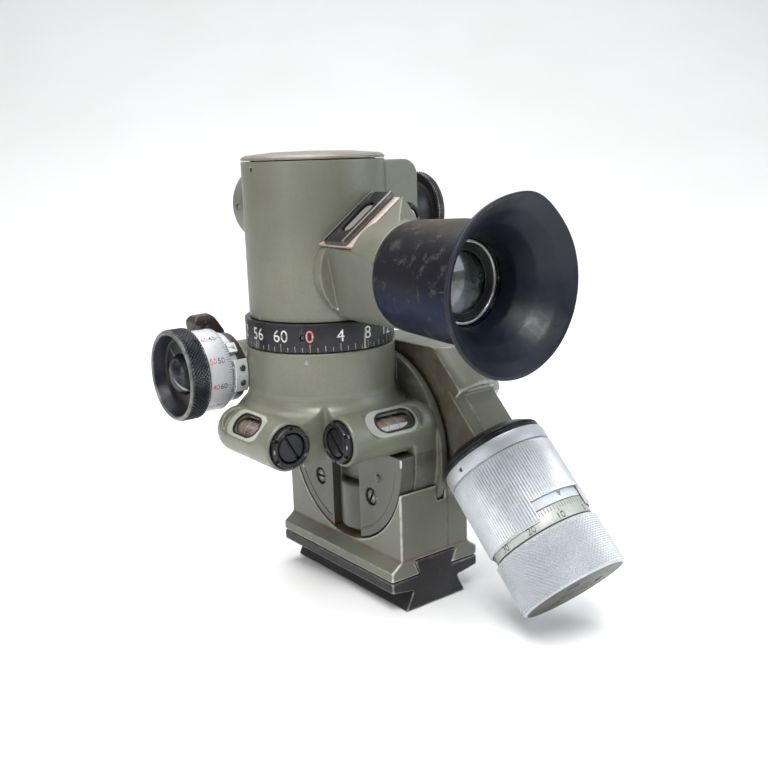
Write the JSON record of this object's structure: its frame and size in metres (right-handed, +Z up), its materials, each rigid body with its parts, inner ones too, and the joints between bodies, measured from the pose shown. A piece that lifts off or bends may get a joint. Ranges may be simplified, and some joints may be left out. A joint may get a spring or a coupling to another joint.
{
  "type": "periscopic sighting telescope",
  "caption": "Panoramic sighting telescope: rotating head with eyepiece and objective on a tilting body with two levels, azimuth and elevation drums and a dovetail foot.",
  "frame": {"origin": "centre of the dovetail's bottom face", "axes": "+Z up along the sight, +Y along the line of sight away from the eyepiece, +X to the right of someone at the eyepiece"},
  "size_m": [0.1049, 0.145, 0.163],
  "materials": {
    "paint": "satin",
    "blackened": "satin",
    "satin": "satin",
    "steel": "brushed",
    "screws": "worn",
    "bronze": "machined",
    "index_white": "matte",
    "rubber": "matte",
    "resin": "satin",
    "glass": "polished",
    "mirror": "polished"
  },
  "bodies": {
    "base": {"adapter_plate": "blackened", "adapter_screw_rear": "screws", "adapter_screw_front": "screws", "base_housing": "paint", "elevation_gear_cover": "paint", "gear_cover_screw_1": "screws", "gear_cover_screw_2": "screws", "gear_cover_screw_3": "screws", "worm_shaft_bush": "bronze", "drum_flange": "blackened", "drum_hub": "index_white"},
    "selector": {"selector_sleeve": "satin"},
    "elevation_drive": {"elevation_scale": "satin", "elevation_knob": "satin", "elevation_worm": "steel"},
    "sight": {"sight_body": "paint", "journal_cover": "paint", "journal_screw_1": "screws", "journal_screw_2": "screws", "left_level_cap": "blackened", "cross_level_cap": "blackened", "left_level_plug": "blackened", "cross_level_plug": "blackened", "left_level_vial": "glass", "cross_level_vial": "glass", "azimuth_bush": "bronze", "azimuth_worm_bush": "satin", "micrometer_index_plate": "index_white", "elevation_worm_wheel": "bronze"},
    "head": {"head_tube": "paint", "head_cap": "paint", "cap_set_screw": "screws", "azimuth_ring": "blackened", "ring_set_screw": "screws", "azimuth_worm_wheel": "bronze", "objective_barrel": "paint", "objective_set_screw": "screws", "objective_lens": "glass", "objective_retainer": "blackened", "head_knob_housing": "paint", "index_window": "glass", "index_window_bezel": "blackened", "eyepiece_block": "paint", "shoe_pad": "resin", "lamp_shoe": "blackened", "shoe_window": "index_white", "lower_prism": "glass", "reticle": "glass", "field_lens": "glass", "eyepiece_barrel": "blackened", "eye_lens": "glass", "eye_lens_retainer": "steel", "rubber_eyecup": "rubber"},
    "head_knob": {"head_knob": "blackened"},
    "head_mirror": {"head_mirror": "mirror"},
    "azimuth_drive": {"azimuth_micrometer_knob": "blackened", "azimuth_micrometer_drum": "satin", "azimuth_worm": "steel"},
    "release_lever": {"azimuth_release_lever": "resin"}
  },
  "joints": [
    {"name": "elevation_knob_turn", "type": "hinge", "parent": "base", "child": "elevation_drive", "pos_m": [0.0158, -0.02645, 0.07945], "axis": [0, -0.7071, -0.7071], "range_deg": [-900, 900]},
    {"name": "elevation_tilt", "type": "hinge", "parent": "base", "child": "sight", "pos_m": [0.0046, -0.0017, 0.0547], "axis": [1, 0, 0], "range_deg": [-14.06, 14.06]},
    {"name": "selector_turn", "type": "hinge", "parent": "base", "child": "selector", "pos_m": [0.0158, -0.02645, 0.07945], "axis": [0, -0.7071, -0.7071], "range_deg": [0, 40]},
    {"name": "micrometer_turn", "type": "hinge", "parent": "sight", "child": "azimuth_drive", "pos_m": [-0.0572, 0.0268, 0.0863], "axis": [-1, 0, 0], "range_deg": [-11520, 11520]},
    {"name": "azimuth_turn", "type": "hinge", "parent": "sight", "child": "head", "pos_m": [-0.0212, 0.0018, 0.1], "axis": [0, 0, 1], "range_deg": [-180, 180]},
    {"name": "release_lever_swing", "type": "hinge", "parent": "sight", "child": "release_lever", "pos_m": [-0.0472, 0.0268, 0.0863], "axis": [-1, 0, 0], "range_deg": [0, 30], "stiffness_Nm_per_rad": 0.05},
    {"name": "head_knob_turn", "type": "hinge", "parent": "head", "child": "head_knob", "pos_m": [0.0238, 0.0018, 0.1398], "axis": [1, 0, 0], "range_deg": [-540, 540]},
    {"name": "mirror_tilt", "type": "hinge", "parent": "head", "child": "head_mirror", "pos_m": [-0.0212, 0.0018, 0.1443], "axis": [1, 0, 0], "range_deg": [-9, 9]}
  ],
  "couplings": [
    {"joint": "elevation_tilt", "follows": "elevation_knob_turn", "ratio": -0.015625},
    {"joint": "azimuth_turn", "follows": "micrometer_turn", "ratio": 0.015625},
    {"joint": "mirror_tilt", "follows": "head_knob_turn", "ratio": -0.016667}
  ]
}
